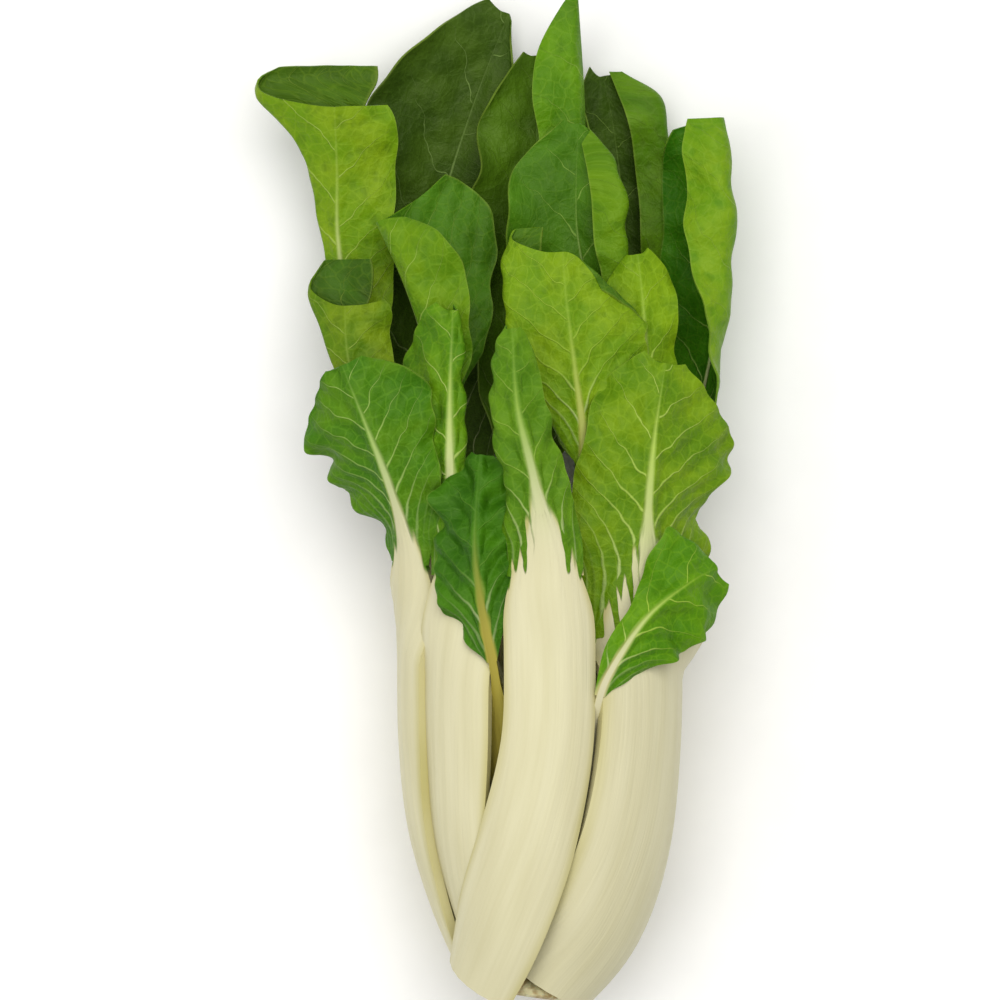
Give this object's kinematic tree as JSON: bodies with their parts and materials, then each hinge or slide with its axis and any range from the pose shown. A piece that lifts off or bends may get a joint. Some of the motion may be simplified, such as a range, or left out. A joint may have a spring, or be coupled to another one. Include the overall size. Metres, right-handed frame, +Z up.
{
  "type": "bok choy head",
  "caption": "Whole head of bok choy lying down: white ribbed stalks in rings round a cut core, each ending in a folded, waved green leaf blade.",
  "frame": {"origin": "middle of the head's footprint, on the surface it lies on", "axes": "+Y along the head from the cut foot to the leaf tips, +X to the right seen from above with the tips away from the viewer, +Z up"},
  "size_m": [0.1675, 0.3617, 0.0942],
  "materials": {
    "stalk": "smooth, waxy, ivory white with faint lengthwise ribs",
    "leaf": "slightly glossy green with pale raised veins",
    "core": "matt cream, cut across the grain"
  },
  "bodies": {
    "root": {"core": "core", "stalk_front": "stalk", "blade_front": "leaf", "stalk_right": "stalk", "blade_right": "leaf", "stalk_left_centre": "stalk", "blade_left_centre": "leaf", "stalk_left": "stalk", "blade_left": "leaf", "stalk_left_back": "stalk", "blade_left_back": "leaf", "stalk_back_left": "stalk", "blade_back_left": "leaf", "stalk_back_right": "stalk", "blade_back_right": "leaf", "stalk_right_back": "stalk", "blade_right_back": "leaf", "stalk_low_right": "stalk", "blade_low_right": "leaf", "stalk_low_left": "stalk", "blade_low_left": "leaf", "stalk_inner_left": "stalk", "blade_inner_left": "leaf", "stalk_inner_right": "stalk", "blade_inner_right": "leaf", "stalk_inner_low": "stalk", "blade_inner_low": "leaf", "stalk_inner_back": "stalk", "blade_inner_back": "leaf", "stalk_heart_front": "stalk", "blade_heart_front": "leaf", "stalk_heart_left": "stalk", "blade_heart_left": "leaf", "stalk_heart_back": "stalk", "blade_heart_back": "leaf"}
  },
  "joints": []
}
